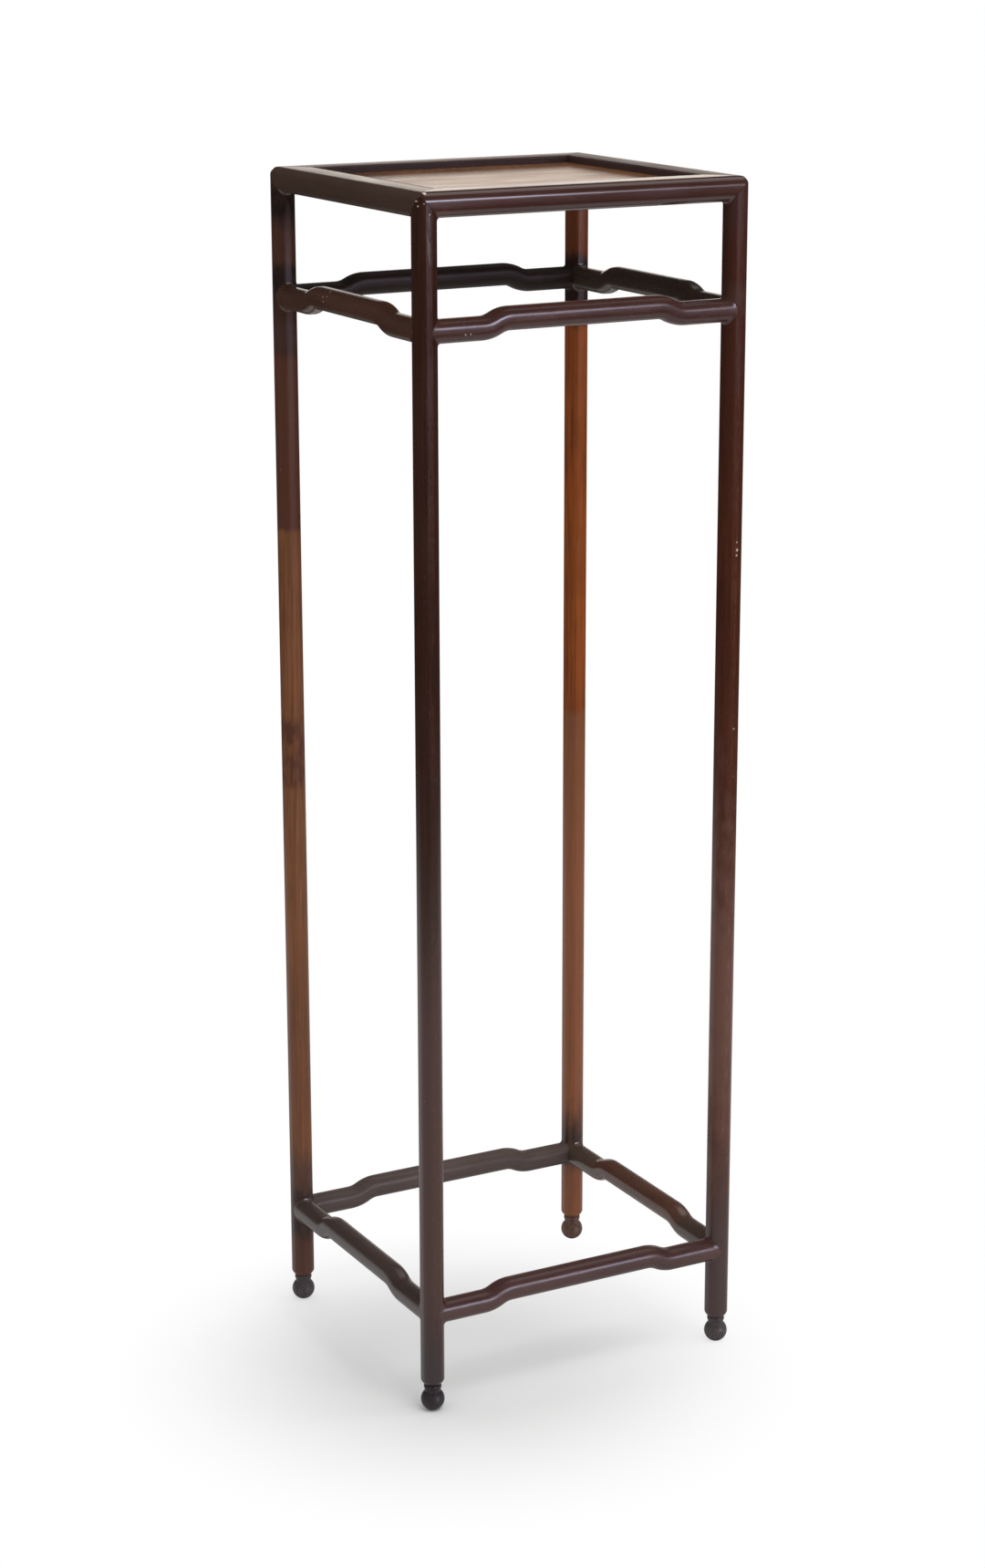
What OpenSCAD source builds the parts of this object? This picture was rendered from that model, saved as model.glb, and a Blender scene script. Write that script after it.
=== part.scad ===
// Tall incense stand: a mitred tray top on four legs, humpback stretchers at two heights
// and turned ball feet. Millimetres, Z up, floor at Z = 0, front towards -Y.
// The origin is the middle of the footprint, on the floor.

/* [Overall] */
// Height from the floor to the top of the frame
stand_h = 1100; // [700:10:1400]
// Width across the front, outside to outside
stand_w = 325; // [270:1:450]
// Depth from front to back, outside to outside
stand_d = 297; // [270:1:450]

/* [Legs] */
// Thickness of a leg, both ways
leg_t = 20.5; // [19.5:0.5:23]
// Radius of the long edges on legs, stretchers and the outside of the frame
edge_r = 8.5; // [6:0.25:9]
// Radius of the rounded shoulder at a leg's lower end
nose_r = 9; // [7:0.5:12]
// Diameter that the leg's lower end narrows to
leg_end_d = 16; // [14:0.5:18]

/* [Feet] */
// Height of the foot below the leg
foot_h = 26; // [24:0.5:34]
// Diameter of the ball
ball_d = 21.8; // [19:0.2:24]
// Diameter of the flat that the ball stands on
ball_flat_d = 7.5; // [4:0.5:10]
// Diameter of the turned band above the ball
band_d = 16.2; // [15:0.2:18]
// Height of the band
band_h = 4.2; // [3:0.2:5]
// Radius of the band's two edges
band_edge_r = 1.1; // [0.5:0.1:1.4]
// Width of the groove between the band and the leg
groove_h = 0.9; // [0.4:0.1:2]
// Diameter of the neck that the grooves show
neck_d = 14.6; // [13:0.2:15]
// Diameter of the spigot that enters the leg
spigot_d = 9; // [6:0.5:10]
// Length of the spigot
spigot_l = 24; // [14:1:34]

/* [Top frame] */
// Width of a frame rail, seen from above
rail_w = 33; // [30:1:40]
// Height of a frame rail
rail_h = 22; // [20:0.5:26]
// Radius of the rail's inner top edge
lip_r = 2; // [1:0.25:3]
// Radius of the ball that eases the three-way corner
corner_ease_r = 14.6; // [14:0.1:15]
// How far in from each face the easing ball has its middle
corner_ease_in = 12; // [12:0.1:13]

/* [Panel] */
// Drop from the top of the frame to the panel
panel_drop = 6.5; // [4:0.5:7]
// Thickness of the panel
panel_t = 8; // [7:0.5:9]
// Drop from the panel's face to the tongue round it
tongue_drop = 1; // [0.5:0.25:1.5]
// Thickness of the tongue
tongue_t = 4; // [3:0.5:4]
// How far the tongue enters the rails
tongue_l = 6; // [4:0.5:7]

/* [Batten] */
// Width of the batten below the panel
batten_w = 18; // [14:1:26]
// Height of the batten below the panel
batten_h = 5.5; // [5:0.25:6]
// Depth of its dovetail in the panel
dovetail_h = 2.5; // [1.5:0.25:3]
// How far the dovetail widens on each side
dovetail_flare = 1.2; // [0.6:0.2:2]
// Width of the tenon at each end
batten_tenon_w = 12; // [8:1:14]
// Thickness of that tenon
batten_tenon_t = 3.5; // [3:0.25:4]
// Length of that tenon
batten_tenon_l = 8; // [5:0.5:12]

/* [Stretchers] */
// Thickness of a stretcher, both ways
stretcher_t = 20.5; // [19:0.5:23]
// Drop from the top of the frame to the middle of an upper stretcher's end
upper_drop = 116; // [70:1:250]
// Height of the middle of a lower stretcher's end
lower_z = 95; // [70:1:250]
// Length of the straight end, from the leg to the bend
hump_start = 42; // [25:1:55]
// Length of the bend up to the hump
hump_run = 28; // [22:1:36]
// Rise of the hump
hump_rise = 7; // [4:0.5:10]

/* [Joints] */
// Clearance round tenons, tongues and spigots
joint_gap = 0.1; // [0.05:0.05:0.3]
// Clearance between a leg and the lips that wrap it
cope_gap = 0.15; // [0.1:0.05:0.3]
// Clearance between two mitred faces
mitre_gap = 0.1; // [0.05:0.05:0.2]
// Thickness of a stretcher's tenon
tenon_t = 6; // [4:0.5:8]
// Height of a stretcher's tenon
tenon_h = 12; // [8:0.5:14]
// Thickness of the two tenons on top of a leg
crown_tenon_t = 5; // [4:0.5:5.5]
// Width of those tenons
crown_tenon_w = 6; // [4:0.5:6.5]
// Wood left between those tenons and the outer face
crown_cover = 4.5; // [4:0.25:5]
// Wood left above those tenons
crown_top = 6; // [5:0.5:8]
// Width of the tenon between two rails
corner_tenon_w = 7.5; // [5:0.5:9]
// Thickness of that tenon
corner_tenon_t = 6; // [4:0.5:6]
// Wood left between that tenon and the outer face
corner_tenon_cover = 7; // [5:0.5:10]

/* [Hidden] */
$fn = 96;
LEFT = -1;
RIGHT = 1;
FRONT = -1;
BACK = 1;

// Finishes
leg_wood = "#3d2620";
back_leg_wood = "#6b3f22";
rail_wood = "#3f2b2a";
stretcher_wood = "#44302c";
foot_wood = "#32211f";
panel_wood = "#6a4a3b";
batten_wood = "#5a4030";

// Room that a cutting body takes past the face it cuts
over = 1;

// Middle of a leg, from either outer face, and the farthest that its section reaches from there
leg_mid = leg_t / 2;
leg_reach = (leg_mid - edge_r) * sqrt(2) + edge_r;

// The leg's lower end: where the shoulder's arc has its middle
nose_reach = leg_reach + 0.3;
nose_mid = nose_reach - nose_r;
nose_top = foot_h + sqrt(pow(nose_r, 2) - pow(leg_end_d / 2 - nose_mid, 2));

// The foot's ball and band
ball_mid_z = sqrt(pow(ball_d / 2, 2) - pow(ball_flat_d / 2, 2));
band_low_z = foot_h - groove_h - band_h;

// The panel and its groove
opening_w = stand_w - 2 * rail_w;
opening_d = stand_d - 2 * rail_w;
panel_top_z = stand_h - panel_drop;
panel_under_z = panel_top_z - panel_t;
tongue_mid_z = panel_top_z - tongue_drop - tongue_t / 2;
groove_l = tongue_l + 1;

// The batten
batten_under_z = panel_under_z - batten_h;
batten_tenon_z = panel_under_z - batten_h / 2;

// Tenons on top of a leg, and the tenon between two rails
mitre_slope = rail_h / leg_t;
crown_out = crown_cover + crown_tenon_t + 1.5;
corner_tenon_mid = (leg_t + rail_w) / 2;
corner_tenon_z = (stand_h - rail_h + tongue_mid_z - tongue_t / 2) / 2;

// The bend of a stretcher: two equal arcs, one up and one level again
bend_angle = 2 * atan(hump_rise / hump_run);
bend_r = hump_run / (2 * sin(bend_angle));

upper_z = stand_h - upper_drop;

// How far each of two mitred faces moves along both axes, so that they part by the gap
mitre_shift = mitre_gap / sqrt(8);
stretcher_levels = [lower_z, upper_z];

// A corner's own frame: the outer corner on the Z axis, the stand towards +X and +Y
module at_corner(side, face) {
    mirror([side > 0 ? 1 : 0, 0, 0])
        mirror([0, face > 0 ? 1 : 0, 0])
            translate([-stand_w / 2, -stand_d / 2, 0])
                children();
}

// Both ends of a member that runs along X, each worked in its corner's frame at the front
module at_both_ends_of_x() {
    at_corner(LEFT, FRONT) children();
    at_corner(RIGHT, FRONT) children();
}

// Swaps X and Y, which turns a joint at a corner from one member to the other
module swap_xy() {
    mirror([1, -1, 0]) children();
}

// A square of side w with round corners, about its middle
module soft_square(w, r) {
    square([w, w - 2 * r], center = true);
    square([w - 2 * r, w], center = true);
    for (x = [-1, 1])
        for (y = [-1, 1])
            translate([x * (w / 2 - r), y * (w / 2 - r)])
                circle(r);
}

// The rail's section: X from the outer face inwards, Y from the underside up
module rail_section() {
    translate([edge_r, 0])
        square([rail_w - lip_r - edge_r, rail_h]);
    translate([0, edge_r])
        square([rail_w / 2, rail_h - 2 * edge_r]);
    translate([rail_w / 2, 0])
        square([rail_w / 2, rail_h - lip_r]);
    translate([edge_r, edge_r])
        circle(edge_r);
    translate([edge_r, rail_h - edge_r])
        circle(edge_r);
    translate([rail_w - lip_r, rail_h - lip_r])
        circle(lip_r);
}

// Everything past the upright plane that halves a corner, on the other member's side
module beyond_mitre(reach) {
    translate([mitre_shift, -mitre_shift, 0])
        linear_extrude(stand_h + over)
            polygon([[-over, -over], [reach + over, reach + over], [-over, reach + over]]);
}

// Rounds the point where a leg and two rails meet
module corner_ease() {
    translate([0, 0, stand_h])
        mirror([0, 0, 1])
            difference() {
                translate([-over, -over, -over])
                    cube(edge_r + over);
                translate([corner_ease_in, corner_ease_in, corner_ease_in])
                    sphere(corner_ease_r);
            }
}

// One of the two tenons on top of a leg: the one that enters the rail along X
module crown_tenon(gap) {
    top = stand_h - crown_top + gap;
    foot = stand_h - rail_h;
    translate([crown_out - gap, crown_cover - gap, foot - gap])
        cube([crown_tenon_w + 2 * gap, crown_tenon_t + 2 * gap, top - foot + gap]);
}

// The tenon of a rail along X, in the rail along Y
module corner_tenon(gap) {
    wide = corner_tenon_w + 2 * gap;
    thick = corner_tenon_t + 2 * gap;
    translate([corner_tenon_cover - gap, corner_tenon_mid - wide / 2, corner_tenon_z - thick / 2])
        cube([rail_w - corner_tenon_cover + gap, wide, thick]);
}

// The tenon of a stretcher along X, from its tip inside the leg to its root
module stretcher_tenon(z, gap) {
    translate([leg_mid - tenon_t / 2 - gap, leg_mid - tenon_t / 2 - gap, z - tenon_h / 2 - gap])
        cube([leg_mid + tenon_t / 2 + gap + over, tenon_t + 2 * gap, tenon_h + 2 * gap]);
}

// The rail's share of the corner, above the mitre that runs from outer to inner corner
module rail_over_leg() {
    translate([0, leg_t + over, stand_h])
        rotate([90, 0, 0])
            linear_extrude(leg_t + 2 * over)
                translate([-mitre_shift, -mitre_shift])
                    polygon([
                        [-over, over * mitre_slope], [leg_t + over, over * mitre_slope],
                        [leg_t + over, -(leg_t + over) * mitre_slope]
                    ]);
}

// The leg's share of the corner, below that mitre
module leg_under_rail() {
    translate([0, leg_t + over, stand_h])
        rotate([90, 0, 0])
            linear_extrude(leg_t + 2 * over)
                translate([mitre_shift, mitre_shift])
                    polygon([
                        [-over, over * mitre_slope], [leg_t, -rail_h],
                        [leg_t, -rail_h - over], [-over, -rail_h - over]
                    ]);
}

// What a leg loses at its lower end, as turned: all outside the shoulder's arc
module shoulder_waste() {
    difference() {
        translate([nose_mid, foot_h - over])
            square([nose_r + 2 * over, nose_top - foot_h + over]);
        translate([nose_mid, nose_top])
            circle(nose_r);
    }
}

module leg(side, face, wood) {
    color(wood)
        at_corner(side, face) {
            difference() {
                translate([leg_mid, leg_mid, foot_h])
                    linear_extrude(stand_h - foot_h)
                        soft_square(leg_t, edge_r);
                translate([leg_mid, leg_mid, 0])
                    rotate_extrude()
                        shoulder_waste();
                rail_over_leg();
                swap_xy() rail_over_leg();
                corner_ease();
                for (z = stretcher_levels) {
                    stretcher_tenon(z, joint_gap);
                    swap_xy() stretcher_tenon(z, joint_gap);
                }
                translate([leg_mid, leg_mid, foot_h - over])
                    cylinder(h = spigot_l + 2 * over, d = spigot_d + 2 * joint_gap);
            }
            crown_tenon(0);
            swap_xy() crown_tenon(0);
        }
}

module foot(side, face) {
    color(foot_wood)
        at_corner(side, face)
            translate([leg_mid, leg_mid, 0])
                rotate_extrude()
                    foot_profile();
}

// Half of the foot's outline: ball, neck, band and the spigot above them
module foot_profile() {
    intersection() {
        translate([0, ball_mid_z])
            circle(d = ball_d);
        square([ball_d, ball_d]);
    }
    translate([0, ball_mid_z])
        square([neck_d / 2, foot_h - ball_mid_z]);
    translate([0, band_low_z])
        square([band_d / 2 - band_edge_r, band_h]);
    translate([0, band_low_z + band_edge_r])
        square([band_d / 2, band_h - 2 * band_edge_r]);
    for (z = [band_low_z + band_edge_r, band_low_z + band_h - band_edge_r])
        translate([band_d / 2 - band_edge_r, z])
            circle(band_edge_r);
    translate([0, ball_mid_z])
        square([spigot_d / 2, foot_h - ball_mid_z + spigot_l]);
}

// A rail along X at the front, before its joints are cut
module long_rail_blank() {
    translate([-stand_w / 2, -stand_d / 2, stand_h - rail_h])
        rotate([90, 0, 90])
            linear_extrude(stand_w)
                rail_section();
}

// What both kinds of rail lose to the leg at one end
module rail_end_cuts() {
    beyond_mitre(rail_w);
    corner_ease();
    crown_tenon(joint_gap);
    leg_under_rail();
}

module long_rail(face) {
    color(rail_wood)
        mirror([0, face > 0 ? 1 : 0, 0]) {
            difference() {
                long_rail_blank();
                at_both_ends_of_x() rail_end_cuts();
                panel_groove();
                batten_end(joint_gap);
            }
            at_both_ends_of_x() corner_tenon(0);
        }
}

// A rail along Y on the left, before its joints are cut
module short_rail_blank() {
    at_corner(LEFT, FRONT)
        swap_xy()
            translate([0, 0, stand_h - rail_h])
                rotate([90, 0, 90])
                    linear_extrude(stand_d)
                        rail_section();
}

module short_rail(side) {
    color(rail_wood)
        mirror([side > 0 ? 1 : 0, 0, 0])
            difference() {
                short_rail_blank();
                for (face = [FRONT, BACK])
                    at_corner(LEFT, face) {
                        swap_xy() rail_end_cuts();
                        corner_tenon(joint_gap);
                    }
                panel_groove();
            }
}

// The groove round the inside of the frame, as one slab that all four rails lose
module panel_groove() {
    translate([0, 0, tongue_mid_z])
        cube([opening_w + 2 * groove_l, opening_d + 2 * groove_l, tongue_t + 2 * joint_gap], center = true);
}

// The dovetail's outline, from its wide upper face down to the batten's underside
module batten_section(gap) {
    half = batten_w / 2 + gap;
    flared = half + dovetail_flare;
    polygon([
        [-flared, dovetail_h + gap], [flared, dovetail_h + gap],
        [half, 0], [half, -batten_h],
        [-half, -batten_h], [-half, 0]
    ]);
}

module batten_bar(gap, length) {
    translate([0, length / 2, panel_under_z])
        rotate([90, 0, 0])
            linear_extrude(length)
                batten_section(gap);
}

// The batten's tenon, in the front rail
module batten_end(gap) {
    root = -opening_d / 2 + over;
    tip = -opening_d / 2 - batten_tenon_l;
    translate([-batten_tenon_w / 2 - gap, tip - gap, batten_tenon_z - batten_tenon_t / 2 - gap])
        cube([batten_tenon_w + 2 * gap, root - tip + gap, batten_tenon_t + 2 * gap]);
}

module panel_batten() {
    color(batten_wood) {
        batten_bar(0, opening_d - 2 * joint_gap);
        for (face = [FRONT, BACK])
            mirror([0, face > 0 ? 1 : 0, 0])
                batten_end(0);
    }
}

module top_panel() {
    color(panel_wood)
        difference() {
            union() {
                translate([0, 0, tongue_mid_z])
                    cube([opening_w + 2 * tongue_l, opening_d + 2 * tongue_l, tongue_t], center = true);
                translate([0, 0, panel_top_z - panel_t / 2])
                    cube([opening_w - 2 * joint_gap, opening_d - 2 * joint_gap, panel_t], center = true);
            }
            batten_bar(joint_gap, opening_d + 2 * over);
        }
}

// One arc of the bend, whose middle is at [x, z]; start is the angle that it begins at
module bend(x, z, start) {
    translate([x, 0, z])
        rotate([90, 0, 0])
            rotate([0, 0, start])
                rotate_extrude(angle = bend_angle)
                    translate([bend_r, 0])
                        soft_square(stretcher_t, edge_r);
}

module straight(from, to, z) {
    translate([from, 0, z])
        rotate([90, 0, 90])
            linear_extrude(to - from)
                soft_square(stretcher_t, edge_r);
}

// A humpback bar along X, about its middle, between the leg middles that are span apart
module humped_bar(span) {
    end = span / 2;
    low = end - leg_mid - hump_start;
    high = low - hump_run;
    straight(-high, high, hump_rise);
    for (side = [LEFT, RIGHT])
        mirror([side > 0 ? 1 : 0, 0, 0]) {
            straight(-end, -low, 0);
            bend(-low, bend_r, -90);
            bend(-high, hump_rise - bend_r, 90);
        }
}

// The leg's section, grown by the clearance, that a stretcher is hollowed to fit
module cope(z) {
    translate([leg_mid, leg_mid, z - stretcher_t / 2 - over])
        linear_extrude(stretcher_t + 2 * over)
            soft_square(leg_t + 2 * cope_gap, edge_r + cope_gap);
}

// Both ends of a stretcher at the front of a stand that is width wide and depth deep
module at_stretcher_ends(width, depth) {
    for (end = [0, 1])
        mirror([end, 0, 0])
            translate([-width / 2, -depth / 2, 0])
                children();
}

// A stretcher at the front of such a stand: a coped bar with a mitre-tipped tenon at each end
module stretcher_along_x(width, depth, z) {
    difference() {
        union() {
            difference() {
                translate([0, (stretcher_t - depth) / 2, z])
                    humped_bar(width - 2 * leg_mid);
                at_stretcher_ends(width, depth) cope(z);
            }
            at_stretcher_ends(width, depth) stretcher_tenon(z, 0);
        }
        at_stretcher_ends(width, depth) beyond_mitre(stretcher_t);
    }
}

// A front or back stretcher
module long_stretcher(face, z) {
    color(stretcher_wood)
        mirror([0, face > 0 ? 1 : 0, 0])
            stretcher_along_x(stand_w, stand_d, z);
}

// A left or right stretcher: the same bar, turned to run along Y
module short_stretcher(side, z) {
    color(stretcher_wood)
        mirror([side > 0 ? 1 : 0, 0, 0])
            swap_xy()
                stretcher_along_x(stand_d, stand_w, z);
}

leg(LEFT, FRONT, leg_wood);  // leg_front_left
leg(RIGHT, FRONT, leg_wood);  // leg_front_right
leg(LEFT, BACK, back_leg_wood);  // leg_back_left
leg(RIGHT, BACK, back_leg_wood);  // leg_back_right
foot(LEFT, FRONT);  // foot_front_left
foot(RIGHT, FRONT);  // foot_front_right
foot(LEFT, BACK);  // foot_back_left
foot(RIGHT, BACK);  // foot_back_right
long_rail(FRONT);  // rail_front
long_rail(BACK);  // rail_back
short_rail(LEFT);  // rail_left
short_rail(RIGHT);  // rail_right
top_panel();
panel_batten();
long_stretcher(FRONT, upper_z);  // upper_stretcher_front
long_stretcher(BACK, upper_z);  // upper_stretcher_back
short_stretcher(LEFT, upper_z);  // upper_stretcher_left
short_stretcher(RIGHT, upper_z);  // upper_stretcher_right
long_stretcher(FRONT, lower_z);  // lower_stretcher_front
long_stretcher(BACK, lower_z);  // lower_stretcher_back
short_stretcher(LEFT, lower_z);  // lower_stretcher_left
short_stretcher(RIGHT, lower_z);  // lower_stretcher_right
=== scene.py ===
from functools import partialmethod
from math import asin, atan, cos, degrees, pi, radians, sin, sqrt
from random import Random

import bmesh
import bpy
from mathutils import Matrix, Vector


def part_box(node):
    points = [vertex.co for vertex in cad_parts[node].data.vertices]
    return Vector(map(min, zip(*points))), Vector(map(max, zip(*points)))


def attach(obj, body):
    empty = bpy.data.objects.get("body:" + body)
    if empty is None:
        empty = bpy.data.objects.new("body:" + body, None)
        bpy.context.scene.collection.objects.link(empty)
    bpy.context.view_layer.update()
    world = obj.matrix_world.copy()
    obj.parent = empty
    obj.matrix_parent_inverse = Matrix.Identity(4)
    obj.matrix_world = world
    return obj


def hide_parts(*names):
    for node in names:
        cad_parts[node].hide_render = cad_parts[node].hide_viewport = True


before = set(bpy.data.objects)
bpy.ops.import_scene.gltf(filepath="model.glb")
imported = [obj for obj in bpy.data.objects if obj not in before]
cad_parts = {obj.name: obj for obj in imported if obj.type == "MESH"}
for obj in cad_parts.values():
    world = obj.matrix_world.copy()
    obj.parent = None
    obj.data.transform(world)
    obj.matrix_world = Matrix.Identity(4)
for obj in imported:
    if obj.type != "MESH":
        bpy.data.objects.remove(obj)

bl_info = {
    "name": "Incense Stand",
    "version": (1, 0, 0),
    "blender": (4, 5, 0),
    "location": "View3D > Sidebar > Stand",
    "description": "Dresses a tall incense stand in waxed hardwood, in its white studio",
    "category": "Object",
}

MM = 0.001

# Signs of the stand's sides along X and Y
LEFT, RIGHT, FRONT, BACK = -1, 1, -1, 1
CORNERS = {
    "front_left": (LEFT, FRONT),
    "front_right": (RIGHT, FRONT),
    "back_left": (LEFT, BACK),
    "back_right": (RIGHT, BACK),
}
# How far each side is turned about Z from the front, in degrees
TURNS = {"front": 0, "right": 90, "back": 180, "left": 270}

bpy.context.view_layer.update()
LEG_LOW, LEG_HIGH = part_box("leg_front_left")
RAIL_LOW, RAIL_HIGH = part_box("rail_front")
SIDE_RAIL_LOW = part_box("rail_left")[0]
UPPER_LOW, UPPER_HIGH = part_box("upper_stretcher_front")
LOWER_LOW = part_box("lower_stretcher_front")[0]
STRETCHER_T = 20.5 * MM

# Limits of the wood's roughness, and how dark and how light the grain makes its colour
SMOOTHEST, ROUGHEST = 0.12, 0.95
GRAIN_DARK, GRAIN_LIGHT = 0.45, 1.32

# Seeds of the woods: a foot adds its number, a rail its turn, a stretcher its turn and name length
FOOT_SEED, RAIL_SEED, STRETCHER_SEED, PANEL_SEED, BATTEN_SEED = 60, 80, 200, 300, 301

# Rows of points: on a leg's rounded end, down a leg, along a rail, and by a mitre, where they crowd
NOSE_ROWS, LEG_ROWS, RAIL_ROWS, MITRE_ROWS = 16, 26, 14, 26
MITRE_CROWD = 1.6
LEG_CORNER_STEPS = 16
FOOT_SIDES = 64
# Where the rows by a mitre end: below a rail on the legs, and from a corner on the rails
LEG_PLAIN = 12 * MM
RAIL_PLAIN = 45 * MM
# The cove under a rail's end fades out this far in from the outer face, over this width
COVE_END = 17 * MM
COVE_FADE = 5 * MM

# Points along a stretcher and round each of its edges, and how its points crowd towards its ends
STRETCHER_POINTS, EDGE_POINTS = 181, 11
STRETCHER_CROWD = 1.5

# The floor: its half width, the middle of its shade, where that turns white round it, how far off
# it turns dark in reflections, and how dark
FLOOR_HALF = 8.0
SHADE_MIDDLE = (-0.092, -0.072)
SHADE_FADE = (0.07, 0.34)
GLOOM_FADE = (1.2, 2.1)
GLOOM = 0.03

# Tints of the window and the backdrop in reflections
WINDOW_TINT = (0.7, 0.72, 1.0, 1.0)
BACKDROP_TINT = (1.0, 0.88, 0.76, 1.0)


def length(name, description, default):
    """A property for a length in metres"""
    return bpy.props.FloatProperty(
        name=name, description=description, default=default, min=0.0, unit="LENGTH", precision=4
    )


def colour(name, description, default):
    """A property for a colour, as linear red, green and blue"""
    return bpy.props.FloatVectorProperty(
        name=name, description=description, default=default, min=0.0, max=1.0, subtype="COLOR"
    )


def angle(name, description, default):
    """A property for an angle, with its default in degrees"""
    return bpy.props.FloatProperty(
        name=name, description=description, default=radians(default), subtype="ANGLE"
    )


def level(name, description, default):
    """A property for a plain number from 0 up"""
    return bpy.props.FloatProperty(name=name, description=description, default=default, min=0.0)


class StandSizes(bpy.types.PropertyGroup):
    """Sizes of the stand's pieces. What can be read from the frame is."""

    width: length("Width", "Across the front, outside to outside", -2 * SIDE_RAIL_LOW.x)
    depth: length("Depth", "From front to back, outside to outside", -2 * RAIL_LOW.y)
    height: length("Height", "From the floor to the top of the frame", RAIL_HIGH.z)
    leg_t: length("Leg", "Thickness of a leg, both ways", LEG_HIGH.x - LEG_LOW.x)
    edge_r: length("Edge radius", "Radius of the long edges", 8.5 * MM)
    nose_r: length("Shoulder radius", "Radius of a leg's rounded lower end", 9 * MM)
    leg_end_d: length("Leg end", "Diameter that a leg's lower end narrows to", 16 * MM)
    rail_w: length("Rail width", "Width of a frame rail from above", RAIL_HIGH.y - RAIL_LOW.y)
    rail_h: length("Rail height", "Height of a frame rail", RAIL_HIGH.z - RAIL_LOW.z)
    lip_r: length("Rail lip", "Radius of a rail's inner top edge", 2 * MM)
    groove_drop: length("Groove drop", "From the frame's top to the panel's groove", 7.4 * MM)
    groove_h: length("Groove", "Height of the panel's groove", 4.2 * MM)
    groove_l: length("Groove depth", "How far the groove runs into a rail", 7 * MM)
    ease_r: length("Corner ball", "Radius of the ball that eases a top corner", 14.6 * MM)
    ease_in: length("Corner ball inset", "How far in from each face the ball's middle is", 12 * MM)
    stretcher_t: length("Stretcher", "Thickness of a stretcher, both ways", STRETCHER_T)
    upper_z: length("Upper height", "Middle of an upper stretcher's end", UPPER_LOW.z + STRETCHER_T / 2)
    lower_z: length("Lower height", "Middle of a lower stretcher's end", LOWER_LOW.z + STRETCHER_T / 2)
    hump_start: length("Straight end", "From the leg to the bend", 42 * MM)
    hump_run: length("Bend", "Length of the bend up to the hump", 28 * MM)
    hump_rise: length("Hump", "Rise of the hump", UPPER_HIGH.z - UPPER_LOW.z - STRETCHER_T)
    lip_reach: length("Lip", "Length over which a stretcher's end swells into its lips", 12 * MM)
    cove_r: length("Cove", "Radius of the soft corner between a stretcher and a leg", 3 * MM)
    rail_cove_r: length("Rail cove", "Radius of the soft corner between a rail and a leg", 3 * MM)
    seam: length("Seam", "Gap between the faces of a joint", 0.1 * MM)
    arris: length("Arris", "How far an edge at a joint is eased", 0.12 * MM)
    foot_h: length("Foot", "Height of a foot below its leg", LEG_LOW.z)
    ball_d: length("Ball", "Diameter of the ball", 21.8 * MM)
    ball_flat_d: length("Ball flat", "Diameter of the flat it stands on", 7.5 * MM)
    band_d: length("Band", "Diameter of the turned band", 16.2 * MM)
    band_h: length("Band height", "Height of the turned band", 4.2 * MM)
    band_edge_r: length("Band edge", "Radius of the band's edges", 1.1 * MM)
    band_drop: length("Upper groove", "Width of the groove above the band", 0.9 * MM)
    neck_d: length("Neck", "Diameter of the neck in the grooves", 14.6 * MM)


class StandColours(bpy.types.PropertyGroup):
    """Colours of the waxed wood, one for each kind of piece."""

    front_leg: colour("Front leg", "Front left leg, dark and red", (0.032, 0.01, 0.0055))
    right_leg: colour("Right leg", "Front right leg", (0.056, 0.014, 0.006))
    left_leg: colour("Left leg", "Back left leg, where its wax has worn", (0.156, 0.057, 0.0215))
    back_leg: colour("Back leg", "Back right leg, faded to orange", (0.198, 0.043, 0.0025))
    rail: colour("Front rail", "Front rail", (0.043, 0.0165, 0.013))
    left_rail: colour("Left rail", "Left rail", (0.048, 0.0255, 0.0175))
    far_rail: colour("Far rails", "Back and right rails", (0.052, 0.022, 0.019))
    upper_front: colour("Upper front", "Upper front stretcher", (0.049, 0.019, 0.0155))
    lower_front: colour("Lower front", "Lower front stretcher", (0.052, 0.0205, 0.017))
    upper_left: colour("Upper left", "Upper left stretcher", (0.056, 0.023, 0.014))
    upper_right: colour("Upper right", "Upper right stretcher", (0.032, 0.02, 0.0135))
    upper_back: colour("Upper back", "Upper back stretcher", (0.02, 0.012, 0.0105))
    lower_left: colour("Lower left", "Lower left stretcher", (0.046, 0.029, 0.024))
    lower_back: colour("Lower back", "Lower back stretcher", (0.072, 0.05, 0.044))
    lower_right: colour("Lower right", "Lower right stretcher", (0.078, 0.033, 0.021))
    near_foot: colour("Near foot", "Front left foot", (0.028, 0.021, 0.024))
    foot: colour("Foot", "Front right and back left feet", (0.06, 0.048, 0.05))
    worn_foot: colour("Worn foot", "Back right foot", (0.105, 0.058, 0.042))
    panel: colour("Panel", "Sunken panel", (0.185, 0.078, 0.032))
    batten: colour("Batten", "Batten below the panel", (0.08, 0.04, 0.022))
    # The colour of chipped wood, and also of the painted highlights on the front left corner and down the
    # front left leg
    bare_wood_and_glint: colour("Bare wood", "Wood that shows where the wax is chipped", (0.58, 0.49, 0.42))


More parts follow.
